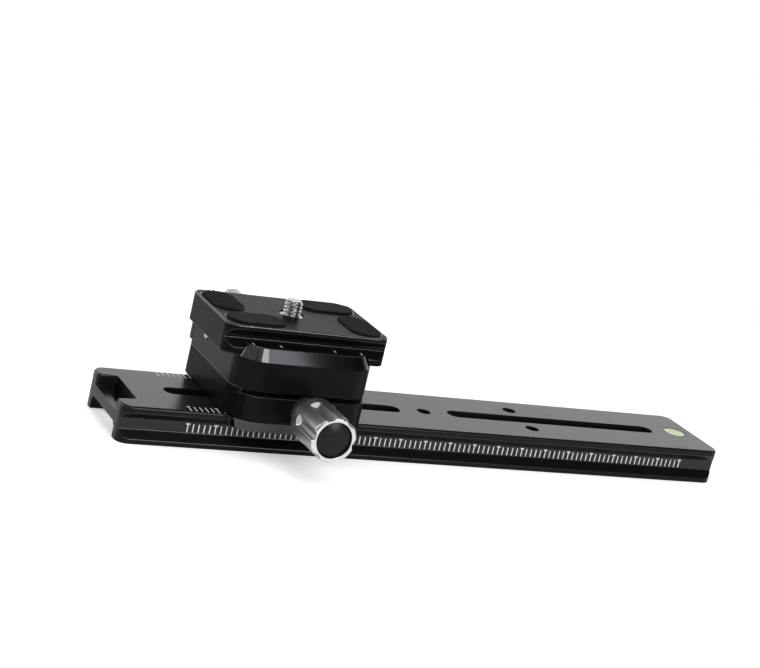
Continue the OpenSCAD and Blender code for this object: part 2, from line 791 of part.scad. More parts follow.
module camera_screw_keeper() {
    color("darkgray")
    at_plate() translate([0, 0, plate_h - keeper_pocket_h + head_play + set_fit]) difference() {
        cylinder(d = keeper_d, h = keeper_t - 2 * set_fit);
        translate([0, 0, -cut]) cylinder(r = keeper_groove_r + set_fit, h = keeper_t + 2 * cut);
    }
}

rail_body();
level_cup();
level_vial();
level_liquid();
lower_clamp_body();
upper_clamp_body();
joint_screws();
joint_dowels();
lower_jaw_springs();
upper_jaw_springs();
lower_jaw();
lower_guide_pins();
upper_jaw();
upper_guide_pins();
lower_knob();
lower_knob_cap();
lower_clamp_screw();
lower_screw_clip();
lower_thrust_washer();
upper_knob();
upper_knob_cap();
upper_clamp_screw();
upper_screw_clip();
upper_thrust_washer();
plate_body();
plate_pads();
plate_stop_screw();
camera_screw();
camera_screw_keeper();
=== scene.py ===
# %% [markdown]
# # A nodal slide rail, dressed in Blender
# The part is a camera support: a long dovetail rail, two clamps joined back to back that ride on
# it, and a small camera plate in the upper clamp. The solids come from the CAD model. This file
# gives them broken edges, finishes, marks, threads and springs, and sets up light and camera.

# %% [markdown]
# ## The frame
# Every CAD node keeps its place in its mesh, in metres, with the rail's underside on the floor
# and +X along the rail. The box of the bare CAD model is kept now, so that the dressed model
# can be compared with it at the end.

# %% Load the CAD frame
import math

import bmesh
import bpy
from mathutils import Matrix, Vector


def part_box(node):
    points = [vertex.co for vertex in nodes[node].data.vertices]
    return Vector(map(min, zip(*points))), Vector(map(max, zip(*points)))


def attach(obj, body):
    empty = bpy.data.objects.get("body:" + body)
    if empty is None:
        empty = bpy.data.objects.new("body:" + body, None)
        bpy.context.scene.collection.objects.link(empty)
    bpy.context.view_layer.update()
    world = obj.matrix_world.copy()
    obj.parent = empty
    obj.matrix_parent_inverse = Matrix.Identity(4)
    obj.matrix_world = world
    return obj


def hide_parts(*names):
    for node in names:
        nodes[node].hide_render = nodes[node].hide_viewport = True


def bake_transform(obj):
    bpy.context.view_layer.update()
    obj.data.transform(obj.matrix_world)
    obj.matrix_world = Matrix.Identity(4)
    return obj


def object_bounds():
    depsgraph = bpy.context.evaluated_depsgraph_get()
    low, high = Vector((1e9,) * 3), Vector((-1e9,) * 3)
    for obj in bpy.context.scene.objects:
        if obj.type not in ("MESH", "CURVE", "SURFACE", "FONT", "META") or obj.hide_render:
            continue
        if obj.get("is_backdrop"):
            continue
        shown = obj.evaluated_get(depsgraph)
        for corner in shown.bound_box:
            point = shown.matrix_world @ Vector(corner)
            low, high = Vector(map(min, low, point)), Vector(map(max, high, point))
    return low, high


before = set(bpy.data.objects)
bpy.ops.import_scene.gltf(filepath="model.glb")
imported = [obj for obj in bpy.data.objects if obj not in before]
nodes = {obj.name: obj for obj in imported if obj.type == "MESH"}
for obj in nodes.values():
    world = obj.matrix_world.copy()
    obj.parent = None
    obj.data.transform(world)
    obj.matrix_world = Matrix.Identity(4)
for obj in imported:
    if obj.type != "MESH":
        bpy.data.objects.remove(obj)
cad_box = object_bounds()
MM = 0.001
RAIL_TOP, PLATE_TOP = 13 * MM, 44.2 * MM
CLAMP_X, LEVEL_X = -60 * MM, 111.2 * MM
KNOB_Z = {"lower": 18.7 * MM, "upper": 28.5 * MM}
scene = bpy.context.scene

# %% [markdown]
# ## The camera
# The picture was taken with a long lens from the left front, a little above the rail, and the
# camera was rolled, so the rail runs downhill in the frame. The place, the aim, the roll and the
# focal length were found by fitting the rail's edges and its ruler. Blender's track-to helpers
# would level the camera, so its three axes are worked out and written as a matrix.

# %% Camera
EYE = Vector((-0.3267, -0.5652, 0.2076))
AIM = Vector((-0.0248, 0.0, 0.0403))
ROLL = math.radians(13.53)
LENS = 89.31


def rolled_view(eye, aim, roll):
    """Matrix of a camera at eye that looks at aim and is turned by roll about its own axis."""
    ahead = (aim - eye).normalized()
    level = ahead.cross(Vector((0, 0, 1))).normalized()
    above = level.cross(ahead)
    right = math.cos(roll) * level + math.sin(roll) * above
    up = math.cos(roll) * above - math.sin(roll) * level
    turn = Matrix((right, up, -ahead)).transposed()
    return Matrix.Translation(eye) @ turn.to_4x4()


camera_data = bpy.data.cameras.new("camera")
camera_data.lens = LENS
camera_data.sensor_fit = "HORIZONTAL"
camera_data.sensor_width = 36
camera_data.clip_start = 0.01
camera = bpy.data.objects.new("camera", camera_data)
camera.matrix_world = rolled_view(EYE, AIM, ROLL)
scene.collection.objects.link(camera)
scene.camera = camera
scene.view_settings.view_transform = "Standard"
print("camera", round((AIM - EYE).length, 3), "m from its aim, lens", LENS, "mm")

# %% [markdown]
# ## A helper for nodes
# Shader and geometry trees are both lists of nodes joined by links. One small function adds a
# node, sets its options and fills its sockets, either with a value or with a link from another
# node's output. It keeps every tree below short enough to read.


# %% Node helper
def put(tree, kind, inputs=None, **settings):
    """Adds a node; inputs maps a socket's name or number to a value or to an output socket."""
    node = tree.nodes.new(kind)
    for key, value in settings.items():
        setattr(node, key, value)
    for key, value in (inputs or {}).items():
        if isinstance(value, bpy.types.NodeSocket):
            tree.links.new(value, node.inputs[key])
        else:
            node.inputs[key].default_value = value
    return node


def math_node(tree, operation, *values):
    """Result of a Math node on one to three values or outputs."""
    return put(tree, "ShaderNodeMath", dict(enumerate(values)), operation=operation).outputs[0]


def vector_node(tree, operation, *values):
    """Vector result of a Vector Math node."""
    inputs = dict(enumerate(values))
    return put(tree, "ShaderNodeVectorMath", inputs, operation=operation).outputs[0]


# %% [markdown]
# ## Floor
# A dark satin object shows its form only by what it reflects, so the room matters as much as the
# lamps. The floor is a pale matte disc that turns plain white away from the object, where the
# eye would otherwise see a horizon. Under the object it stays matte and keeps the soft shadow.
# Two small lifts brighten what the camera and the shiny faces see of it; they add no other light.

# %% Floor
FLOOR_R = 4.0
FLOOR_DROP = 0.02 * MM
FLOOR_WHITE = 0.9
FADE_START, FADE_END = 0.12, 0.45
FLOOR_LIFT, MIRROR_LIFT = 0.30, 0.08


def floor_finish():
    """Matte near-white, lifted for the camera, that turns into plain white far away."""
    material = bpy.data.materials.new("floor_pale")
    material.use_nodes = True
    tree = material.node_tree
    tree.nodes.clear()
    place = put(tree, "ShaderNodeTexCoord").outputs["Object"]
    far = put(tree, "ShaderNodeVectorMath", {0: place}, operation="LENGTH").outputs["Value"]
    fade = put(tree, "ShaderNodeMapRange", {0: far, 1: FADE_START, 2: FADE_END},
               interpolation_type="SMOOTHSTEP").outputs[0]
    rays = put(tree, "ShaderNodeLightPath").outputs
    mirrored = math_node(tree, "MAXIMUM", rays["Is Glossy Ray"], rays["Is Transmission Ray"])
    seen = math_node(tree, "MAXIMUM", rays["Is Camera Ray"], mirrored)
    matte = put(tree, "ShaderNodeBsdfDiffuse",
                {"Color": (FLOOR_WHITE, FLOOR_WHITE, FLOOR_WHITE, 1)}).outputs[0]
    raised = math_node(tree, "MULTIPLY_ADD", rays["Is Camera Ray"], FLOOR_LIFT,
                       math_node(tree, "MULTIPLY", mirrored, MIRROR_LIFT))
    lift = put(tree, "ShaderNodeEmission", {"Strength": raised}).outputs[0]
    near = put(tree, "ShaderNodeAddShader", {0: matte, 1: lift}).outputs[0]
    white = put(tree, "ShaderNodeEmission", {"Strength": 1.0}).outputs[0]
    mixed = put(tree, "ShaderNodeMixShader",
                {0: math_node(tree, "MULTIPLY", fade, seen), 1: near, 2: white}).outputs[0]
    put(tree, "ShaderNodeOutputMaterial", {"Surface": mixed})
    return material


floor_mesh = bpy.data.meshes.new("floor")
shape = bmesh.new()
bmesh.ops.create_circle(shape, cap_ends=True, segments=96, radius=FLOOR_R)
shape.to_mesh(floor_mesh)
shape.free()
floor = bpy.data.objects.new("floor", floor_mesh)
floor.location.z = -FLOOR_DROP
floor_mesh.materials.append(floor_finish())
scene.collection.objects.link(floor)
floor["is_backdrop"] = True
print("floor radius", FLOOR_R, "m")

# %% [markdown]
# ## World
# Rays from the camera, and those that pass through clear plastic, see plain white. Shiny faces
# see a room: a white wall behind the object, which ends at some height, and near darkness in
# front, because black metal in an all-white room turns grey. Matte faces get one even glow. Real
# cards could make this room, but a few nodes that read the ray's direction are enough.

# %% World
ROOM_BEHIND, ROOM_FRONT = 1.15, 0.03
ROOM_START, ROOM_END = -0.15, 0.45
WALL_TOP, WALL_FADE = 0.42, 0.62
ROOM_GLOW = 0.62
world = bpy.data.worlds.new("studio")
world.use_nodes = True
scene.world = world
sky = world.node_tree
sky.nodes.clear()
towards = put(sky, "ShaderNodeTexCoord").outputs["Generated"]
way = put(sky, "ShaderNodeSeparateXYZ", {0: towards}).outputs
behind = put(sky, "ShaderNodeMapRange", {0: way["Y"], 1: ROOM_START, 2: ROOM_END},
             interpolation_type="SMOOTHSTEP").outputs[0]
wall = put(sky, "ShaderNodeMapRange", {0: way["Z"], 1: WALL_TOP, 2: WALL_FADE, 3: 1.0, 4: 0.1},
           interpolation_type="SMOOTHSTEP").outputs[0]
room = math_node(sky, "MULTIPLY_ADD", math_node(sky, "MULTIPLY", behind, wall),
                 ROOM_BEHIND - ROOM_FRONT, ROOM_FRONT)
rays = put(sky, "ShaderNodeLightPath")
open_view = math_node(sky, "MAXIMUM", rays.outputs["Is Camera Ray"],
                      rays.outputs["Is Transmission Ray"])
soft_room = put(sky, "ShaderNodeMix", {0: rays.outputs["Is Diffuse Ray"], 2: room,
                                       3: ROOM_GLOW}).outputs[0]
strength = put(sky, "ShaderNodeMix", {0: open_view, 2: soft_room, 3: 1.0}).outputs[0]
back = put(sky, "ShaderNodeBackground", {"Color": (1, 1, 1, 1), "Strength": strength}).outputs[0]
put(sky, "ShaderNodeOutputWorld", {"Surface": back})
print("room from", ROOM_FRONT, "to", ROOM_BEHIND)

# %% [markdown]
# ## Lamps
# The lamps are soft panels, because a small lamp would draw hard sparks on the metal. A flat
# shiny face mirrors only one part of the room, so a face that has to be seen needs a panel in
# that part. Ten panels are far more than a plain studio has: most were added one at a time, until
# faces of this nearly black object were about as bright as in the photograph.

# %% Lamps
LIT_POINT = Vector((-0.05, 0, 0.03))


def soft_panel(name, place, width, height, radiance):
    """Area lamp that faces the clamps; radiance is what a mirror would show of it."""
    data = bpy.data.lights.new(name, "AREA")
    data.shape = "RECTANGLE"
    data.size, data.size_y = width, height
    data.energy = radiance * math.pi * width * height
    lamp = bpy.data.objects.new(name, data)
    lamp.location = place
    aim = LIT_POINT - Vector(place)
    lamp.rotation_euler = aim.to_track_quat("-Z", "Y").to_euler()
    scene.collection.objects.link(lamp)
    return lamp


soft_panel("panel_front", (0.094, -0.925, 0.90), 0.51, 0.42, 5.4)
soft_panel("panel_right", (0.446, -0.990, 0.90), 0.165, 0.42, 2.0)
soft_panel("panel_top", (-0.12, 0.12, 1.20), 0.60, 0.55, 1.7)
soft_panel("panel_wide", (-0.26, -1.16, 0.50), 0.62, 0.34, 0.9)
soft_panel("panel_high", (-0.26, -0.49, 0.98), 0.34, 0.24, 3.0)
soft_panel("panel_gap", (-0.33, -0.68, 0.86), 0.34, 0.26, 0.6)
soft_panel("panel_corner", (-0.90, 0.36, 0.60), 0.42, 0.36, 2.4)
soft_panel("panel_low", (0.37, -1.08, 0.21), 0.32, 0.24, 11.0)
soft_panel("panel_left", (-0.79, -0.30, 0.78), 0.90, 0.60, 0.5)
soft_panel("panel_far_left", (-1.05, 0.10, 0.35), 0.30, 0.50, 2.0)

# %% [markdown]
# ## Finishes
# Blasted and anodised aluminium is nearly flat from a step away, but close up it has a fine
# grain, faint cloudy patches where it was handled, and bare metal where an edge has been
# knocked. Each of these effects is a node group that gives only values, and each material
# places the groups with its own sizes. The patterns read object coordinates, so they don't
# stretch over a shape and need no unwrapping.


# %% Shared effects
def effect(name, inputs, outputs):
    """Empty shader group with its input and output nodes."""
    tree = bpy.data.node_groups.new(name, "ShaderNodeTree")
    for label, kind, value in inputs:
        socket = tree.interface.new_socket(label, in_out="INPUT", socket_type="NodeSocket" + kind)
        socket.default_value = value
    for label in outputs:
        tree.interface.new_socket(label, in_out="OUTPUT", socket_type="NodeSocketFloat")
    return tree, put(tree, "NodeGroupInput"), put(tree, "NodeGroupOutput")


def object_place(tree):
    """Object coordinates, in metres."""
    return put(tree, "ShaderNodeTexCoord").outputs["Object"]


# Grain: fine noise, which Streak draws out along X as rolling or milling does
grain, given, out = effect("fine_grain", [("Size", "Float", 0.0002), ("Streak", "Float", 1.0)],
                           ["Height", "Tone"])
drawn = put(grain, "ShaderNodeCombineXYZ", {"X": math_node(grain, "DIVIDE", 1.0, given.outputs[1]),
                                            "Y": 1.0, "Z": 1.0}).outputs[0]
stretched = vector_node(grain, "MULTIPLY", object_place(grain), drawn)
per_metre = math_node(grain, "DIVIDE", 1.0, given.outputs[0])
fine = put(grain, "ShaderNodeTexNoise", {"Vector": stretched, "Scale": per_metre, "Detail": 2.0})
coarse = put(grain, "ShaderNodeTexNoise",
             {"Vector": stretched, "Scale": math_node(grain, "DIVIDE", per_metre, 9.0)})
grain.links.new(fine.outputs["Fac"], out.inputs["Height"])
grain.links.new(math_node(grain, "MULTIPLY_ADD", fine.outputs["Fac"], 0.5,
                          math_node(grain, "MULTIPLY", coarse.outputs["Fac"], 0.5)),
                out.inputs["Tone"])

# Smudges: soft patches left by fingers, none over most of the surface
smudges, given, out = effect("handling", [("Patch", "Float", 0.012), ("Cover", "Float", 0.5)],
                             ["Mask"])
cloud = put(smudges, "ShaderNodeTexNoise",
            {"Vector": object_place(smudges), "Detail": 3.0, "Roughness": 0.6,
             "Scale": math_node(smudges, "DIVIDE", 1.0, given.outputs[0])}).outputs["Fac"]
floor_value = math_node(smudges, "SUBTRACT", 0.75, math_node(smudges, "MULTIPLY", 0.4,
                                                            given.outputs[1]))
patch = put(smudges, "ShaderNodeMapRange", {0: cloud, 1: floor_value, 2: 0.8},
            interpolation_type="SMOOTHSTEP").outputs[0]
smudges.links.new(patch, out.inputs["Mask"])

# Knocks: small flecks where the dyed skin has worn through to bare metal
knocks, given, out = effect("knocks", [("Size", "Float", 0.0006), ("Amount", "Float", 0.3)],
                            ["Mask"])
fleck = put(knocks, "ShaderNodeTexNoise",
            {"Vector": object_place(knocks), "Detail": 4.0, "Roughness": 0.7,
             "Scale": math_node(knocks, "DIVIDE", 1.0, given.outputs[0])}).outputs["Fac"]
level = math_node(knocks, "SUBTRACT", 0.8, math_node(knocks, "MULTIPLY", 0.4, given.outputs[1]))
flecks = put(knocks, "ShaderNodeMapRange",
             {0: fleck, 1: level, 2: math_node(knocks, "ADD", level, 0.06)}).outputs[0]
knocks.links.new(flecks, out.inputs["Mask"])

# Turned lines: rings round an axis, as a lathe tool leaves them
turned, given, out = effect(
    "turned_lines",
    [("Centre", "Vector", (0, 0, 0)), ("Axis", "Vector", (0, 1, 0)), ("Pitch", "Float", 0.0001)],
    ["Height", "Tone"])
arm = vector_node(turned, "SUBTRACT", object_place(turned), given.outputs["Centre"])
along = put(turned, "ShaderNodeVectorMath", {0: arm, 1: given.outputs["Axis"]},
            operation="DOT_PRODUCT").outputs["Value"]
across = vector_node(turned, "CROSS_PRODUCT", arm, given.outputs["Axis"])
radius = put(turned, "ShaderNodeVectorMath", {0: across}, operation="LENGTH").outputs["Value"]
lathe = put(turned, "ShaderNodeCombineXYZ", {"X": along, "Y": radius}).outputs[0]
rings = put(turned, "ShaderNodeTexNoise",
            {"Vector": lathe, "Detail": 2.0,
             "Scale": math_node(turned, "DIVIDE", 1.0, given.outputs["Pitch"])},
            noise_dimensions="2D").outputs["Fac"]
turned.links.new(rings, out.inputs["Height"])
turned.links.new(rings, out.inputs["Tone"])
print("shader groups:", [group.name for group in bpy.data.node_groups])


# %% [markdown]
# A material starts from a Principled shader with its plain constants set on the sockets. What
# changes over the surface is linked: the grain tints the colour and lifts the normal, and the
# smudges change the roughness.


# %% Material builder
def use(tree, group, **values):
    """Places a shared effect in a material with its own values."""
    node = tree.nodes.new("ShaderNodeGroup")
    node.node_tree = group
    for label, value in values.items():
        node.inputs[label].default_value = value
    return node.outputs


def finish_with(name, dark, light, rough, smear=0.08, bump=0.15, height=0.00001, pattern=None,
                flecks=0.0, bare=(0.45, 0.45, 0.46), **constants):
    """Principled material; pattern is (group, values), flecks the share of bare metal."""
    material = bpy.data.materials.new(name)
    material.use_nodes = True
    tree = material.node_tree
    tree.nodes.clear()
    group, values = pattern or (grain, {"Size": 0.0002})
    surface = use(tree, group, **values)
    colour = put(tree, "ShaderNodeMix", {0: surface["Tone"], 6: (*dark, 1), 7: (*light, 1)},
                 data_type="RGBA").outputs[2]
    handled = use(tree, smudges, Patch=0.011)["Mask"]
    roughness = math_node(tree, "MULTIPLY_ADD", handled, smear, rough)
    normal = put(tree, "ShaderNodeBump", {"Strength": bump, "Distance": height,
                                          "Height": surface["Height"]}).outputs[0]
    inputs = {"Roughness": roughness, "Normal": normal}
    if flecks:
        worn = use(tree, knocks, Amount=flecks)["Mask"]
        colour = put(tree, "ShaderNodeMix", {0: worn, 6: colour, 7: (*bare, 1)},
                     data_type="RGBA").outputs[2]
        inputs["Metallic"] = worn
    shader = put(tree, "ShaderNodeBsdfPrincipled", {"Base Color": colour, **inputs, **constants})
    put(tree, "ShaderNodeOutputMaterial", {"Surface": shader.outputs[0]})
    return material


# %% Metals, rubber and plastic
COOL = (0.93, 0.92, 1.0, 1)
WARM = (1.0, 0.96, 0.99, 1)
satin_black = finish_with("satin_black", (0.0022, 0.0020, 0.0028), (0.0042, 0.0038, 0.0052), 0.29,
                          bump=0.2, pattern=(grain, {"Size": 0.00022}),
                          **{"Specular IOR Level": 0.08, "Specular Tint": COOL})
plate_black = finish_with("plate_black", (0.0024, 0.0022, 0.0029), (0.0046, 0.0042, 0.0052), 0.36,
                          bump=0.2, pattern=(grain, {"Size": 0.00022}),
                          **{"Specular IOR Level": 0.055, "Specular Tint": COOL})
rail_black = finish_with("rail_black", (0.0030, 0.0029, 0.0034), (0.0060, 0.0058, 0.0064), 0.24,
                         bump=0.08, pattern=(grain, {"Size": 0.00018, "Streak": 6.0}),
                         **{"Specular IOR Level": 0.4, "Specular Tint": WARM})
side_black = finish_with("side_black", (0.0024, 0.0022, 0.0030), (0.0046, 0.0042, 0.0054), 0.34,
                         bump=0.12, pattern=(grain, {"Size": 0.0002, "Streak": 4.0}),
                         **{"Specular IOR Level": 0.16, "Specular Tint": COOL})
# Neck walls: the flanks' black made lighter and shinier, a painted sheen.
neck_black = finish_with("neck_black", (0.0034, 0.0032, 0.0040), (0.0066, 0.0062, 0.0074), 0.32,
                         bump=0.12, pattern=(grain, {"Size": 0.0002, "Streak": 4.0}),
                         **{"Specular IOR Level": 0.40, "Specular Tint": COOL})
# Lower clamp's ends: the satin black darkened and dulled, a painted shade.
flank_black = finish_with("flank_black", (0.0020, 0.0019, 0.0025), (0.0038, 0.0035, 0.0046), 0.36,
                          bump=0.2, pattern=(grain, {"Size": 0.00022}),
                          **{"Specular IOR Level": 0.03, "Specular Tint": COOL})
milled_black = finish_with("milled_black", (0.0010, 0.0010, 0.0014), (0.0022, 0.0022, 0.0028), 0.07,
                           smear=0.02, bump=0.02, pattern=(grain, {"Size": 0.0003, "Streak": 8.0}),
                           **{"Specular IOR Level": 1.0, "Specular Tint": COOL})
# Edge strips: the bare flecks are wear; their lighter colour is a painted highlight.
edge_rail = finish_with("edge_rail", (0.007, 0.007, 0.008), (0.020, 0.020, 0.022), 0.22,
                        smear=0.08, bump=0.06, pattern=(grain, {"Size": 0.0004, "Streak": 5.0}),
                        flecks=0.25, bare=(0.30, 0.30, 0.31), **{"Specular IOR Level": 0.5})
edge_black = finish_with("edge_black", (0.010, 0.010, 0.011), (0.030, 0.030, 0.032), 0.18,
                         smear=0.08, bump=0.06, pattern=(grain, {"Size": 0.0004, "Streak": 5.0}),
                         flecks=0.5, bare=(0.40, 0.40, 0.41), **{"Specular IOR Level": 1.0})


def turned_metal(name, centre, axis, dark, light, rough, pitch=0.00012, **constants):
    """Metal with lathe rings round an axis."""
    return finish_with(name, dark, light, rough, smear=0.1, bump=0.12, height=0.000006,
                       pattern=(turned, {"Centre": centre, "Axis": axis, "Pitch": pitch}),
                       Metallic=1.0, **constants)


knob_silver, knob_bright, steel_along = {}, {}, {}
for side, height in KNOB_Z.items():
    middle = (CLAMP_X, 0, height)
    knob_silver[side] = turned_metal(f"{side}_knob_silver", middle, (0, 1, 0),
                                     (0.43, 0.415, 0.44), (0.55, 0.535, 0.56), 0.33)
    knob_bright[side] = turned_metal(f"{side}_knob_bright", middle, (0, 1, 0),
                                     (0.62, 0.61, 0.63), (0.76, 0.75, 0.77), 0.27)
    steel_along[side] = turned_metal(f"{side}_screw_steel", middle, (0, 1, 0),
                                     (0.42, 0.42, 0.43), (0.58, 0.58, 0.59), 0.28)
steel_upright = turned_metal("upright_steel", (CLAMP_X, 0, 0), (0, 0, 1),
                             (0.42, 0.42, 0.43), (0.6, 0.6, 0.61), 0.26)
spring_wire = turned_metal("spring_wire", (CLAMP_X, 0, 0), (0, 0, 1),
                           (0.28, 0.28, 0.29), (0.4, 0.4, 0.42), 0.32)
washer_dark = finish_with("washer_dark", (0.012, 0.012, 0.013), (0.025, 0.024, 0.025), 0.4,
                          pattern=(grain, {"Size": 0.0002}))
cap_gloss = finish_with("cap_gloss", (0.003, 0.003, 0.0035), (0.006, 0.006, 0.0065), 0.27,
                        smear=0.04, bump=0.02, **{"Specular IOR Level": 0.20})
grip_rubber = finish_with("grip_rubber", (0.003, 0.003, 0.004), (0.009, 0.009, 0.011), 0.60,
                          smear=0.1, bump=0.4, height=0.00003,
                          pattern=(grain, {"Size": 0.00035}), **{"Specular IOR Level": 0.06})
etched_white = finish_with("etched_white", (0.62, 0.62, 0.63), (0.85, 0.85, 0.85), 0.6,
                           smear=0.1, bump=0.2, pattern=(grain, {"Size": 0.00012}))
print("materials:", len(bpy.data.materials))

# %% [markdown]
# The level's vial is clear plastic over a pale yellow-green liquid. Clear things keep a plain
# metallic value and a plain transmission weight, so that they also read well after export. A
# weak glow of its own stands in for the light that really passes through the liquid.

# %% Level finishes
vial_clear = finish_with("vial_clear", (0.90, 0.94, 0.88), (0.95, 0.98, 0.94), 0.05, smear=0.05,
                         bump=0.02, **{"Transmission Weight": 1.0, "IOR": 1.46})
level_green = finish_with("level_green", (0.44, 0.58, 0.16), (0.60, 0.72, 0.27), 0.25, smear=0.0,
                          bump=0.0, **{"Transmission Weight": 0.25, "IOR": 1.36,
                                       "Emission Color": (0.5, 0.66, 0.2, 1),
                                       "Emission Strength": 0.18})
print("level finishes ready")


# %% [markdown]
# ## Broken edges
# No machined edge is knife sharp: each one is broken by one or two tenths of a millimetre, and
# that narrow strip catches the light. A CAD node's own mesh stays as it is, so each visible
# solid is copied, its loose triangles are merged and its flat faces made whole. A Bevel modifier
# breaks the edges over a given angle, and the strips take a smoother material. On the black
# parts that material has flecks of worn bare metal and a lighter colour, a painted highlight.
# Edges over the crease angle are marked sharp first, or the shading would run over them. The top
# outlines of the rail and the plate get a wider strip of their own, but not the openings in them.


# %% Machined copies
WELD = 0.002 * MM
FLAT_ANGLE, CREASE, CLAMP_CREASE = 1.5, 28, 40


def merged_mesh(node, name):
    """Copy of a CAD node's mesh with its triangles welded and its flat faces made whole."""
    mesh = nodes[node].data.copy()
    mesh.name = name
    work = bmesh.new()
    work.from_mesh(mesh)
    bmesh.ops.remove_doubles(work, verts=work.verts, dist=WELD)
    bmesh.ops.dissolve_limit(work, angle_limit=math.radians(FLAT_ANGLE), verts=work.verts,
                             edges=work.edges)
    work.to_mesh(mesh)
    work.free()
    return mesh


def add_object(name, mesh):
    """Object at the origin with that mesh."""
    thing = bpy.data.objects.new(name, mesh)
    scene.collection.objects.link(thing)
    return thing


def apply_modifiers(thing):
    """Turns the evaluated object into a plain mesh and clears its modifiers."""
    graph = bpy.context.evaluated_depsgraph_get()
    final = bpy.data.meshes.new_from_object(thing.evaluated_get(graph))
    final.name = thing.name
    thing.modifiers.clear()
    thing.data = final
    return thing


def break_edges(thing, width, segments=2, strip=1, sharp=CREASE):
    """Bevels every edge over sharp degrees and gives the strips the material of that number."""
    bevel = thing.modifiers.new("broken_edges", "BEVEL")
    bevel.width = width
    bevel.segments = segments
    bevel.limit_method = "ANGLE"
    bevel.angle_limit = math.radians(sharp)
    bevel.use_clamp_overlap = False
    bevel.material = strip
    work = bmesh.new()
    work.from_mesh(thing.data)
    for face in work.faces:
        face.smooth = True
    for edge in work.edges:
        edge.smooth = len(edge.link_faces) != 2 or edge.calc_face_angle() < math.radians(CREASE)
    work.to_mesh(thing.data)
    work.free()
    normals = thing.modifiers.new("flat_faces", "WEIGHTED_NORMAL")
    normals.keep_sharp = True
    return apply_modifiers(thing)


def round_rim(mesh, height, inset, width, finish=1, segments=3):
    """Bevels the outline of a mesh's flat top, but not the rims of the openings in it."""
    work = bmesh.new()
    work.from_mesh(mesh)
    spans = [[vert.co[axis] for vert in work.verts] for axis in (0, 1)]
    centre = [(min(span) + max(span)) / 2 for span in spans]
    reach = [(max(span) - min(span)) / 2 for span in spans]
    rim = []
    for edge in work.edges:
        ends = [vert.co for vert in edge.verts]
        middle = (ends[0] + ends[1]) / 2
        outside = any(abs(middle[axis] - centre[axis]) > reach[axis] - inset for axis in (0, 1))
        if all(abs(end.z - height) < 0.02 * MM for end in ends) and outside:
            if len(edge.link_faces) == 2 and edge.calc_face_angle() > math.radians(CREASE):
                rim.append(edge)
    bmesh.ops.bevel(work, geom=rim, offset=width, offset_type="OFFSET", segments=segments,
                    profile=0.5, affect="EDGES", clamp_overlap=False, material=finish)
    work.to_mesh(mesh)
    work.free()


def machined(node, name, body, finishes, width=0.2 * MM, chosen=None, segments=2, rim=None,
             sharp=CREASE, strip=1):
    """Bevelled copy of a CAD node; chosen(face) gives the number of a face's finish."""
    mesh = merged_mesh(node, name)
    mesh.materials.clear()
    for finish in finishes:
        mesh.materials.append(finish)
    for face in mesh.polygons:
        face.material_index = chosen(face) if chosen else 0
    if rim:
        round_rim(mesh, *rim)
    thing = break_edges(add_object(name, mesh), width, segments, strip, sharp)
    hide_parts(node)
    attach(thing, body)
    print(name, len(thing.data.polygons), "faces")
    return thing


def sloped(face):
    """Third finish for the long chamfers round the jaws, which the mill leaves smoother."""
    return 2 if 0.4 < abs(face.normal.z) < 0.6 else 0


def sloped_or_flank(face):
    """The same, and a fourth for the lower clamp's ends: a rougher copy darkened as painted shade.
    """
    return 3 if abs(face.normal.x) > 0.6 and abs(face.normal.z) < 0.3 else sloped(face)


def rail_side(face):
    """Third finish for the rail's flanks, fourth (their black lightened as painted sheen) for its
    neck walls, first for its top.
    """
    if face.normal.z > 0.9:
        return 0
    return 3 if abs(face.normal.y) > 0.9 and 3 * MM < face.center.z < 9 * MM else 2


# %% Rail and clamps
FINE_EDGE, CLAMP_EDGE, KNOB_EDGE, SCREW_EDGE, CUP_EDGE = (
    width * MM for width in (0.12, 0.2, 0.15, 0.1, 0.08))
RIM_INSET, RIM_WIDTH = 4.1 * MM, 0.5 * MM
machined("rail_body", "rail", "rail",
         (rail_black, edge_rail, side_black, neck_black), FINE_EDGE, rail_side,
         rim=(RAIL_TOP, RIM_INSET, RIM_WIDTH, 0, 1))
for node, body in (("lower_clamp_body", "carriage"), ("upper_clamp_body", "carriage"),
                   ("lower_jaw", "lower_jaw"), ("upper_jaw", "upper_jaw")):
    machined(node, node.replace("_body", "") + "_dressed", body,
             (satin_black, edge_rail if "lower" in node else edge_black, milled_black,
              flank_black), CLAMP_EDGE, sloped_or_flank if "lower" in node else sloped,
             sharp=CLAMP_CREASE)

# %% [markdown]
# ## Knobs
# The knobs are turned from bar, fluted with a ball mill and clear anodised. Their flanks are a
# dull silver, while the end ring and the chamfer, picked by their distance from the end, are
# given a brighter, smoother silver.


# %% Knobs and caps
KNOB_END = 51.9 * MM


def knob_end(face):
    """Second finish for the end ring and its chamfer."""
    return 1 if abs(face.center.y) > KNOB_END else 0


for side in ("lower", "upper"):
    machined(f"{side}_knob", f"{side}_knob_dressed", f"{side}_knob",
             (knob_silver[side], knob_bright[side]), KNOB_EDGE, knob_end)
    machined(f"{side}_knob_cap", f"{side}_cap_dressed", f"{side}_knob",
             (cap_gloss, cap_gloss), CLAMP_EDGE, segments=3)

# %% [markdown]
# ### Plate, screws and level cup
# The plate's top outline gets as wide a strip as the rail's, but a rounded one, with a brighter
# finish than its other strips: more flecks of worn bare metal and a lighter colour that paints a
# highlight. The screws and the cup are small, so their edges are broken by a tenth of a
# millimetre or less.

# %% Plate, screws and level cup
machined("plate_body", "plate", "plate", (plate_black, edge_black, edge_rail),
         FINE_EDGE, rim=(PLATE_TOP, RIM_INSET, RIM_WIDTH), strip=2)
machined("plate_stop_screw", "stop_screw", "plate", (steel_upright, steel_upright),
         SCREW_EDGE)
machined("joint_screws", "joining_screws", "carriage", (steel_upright, steel_upright),
         SCREW_EDGE)
machined("level_cup", "level_rim", "rail", (satin_black, edge_black), CUP_EDGE)

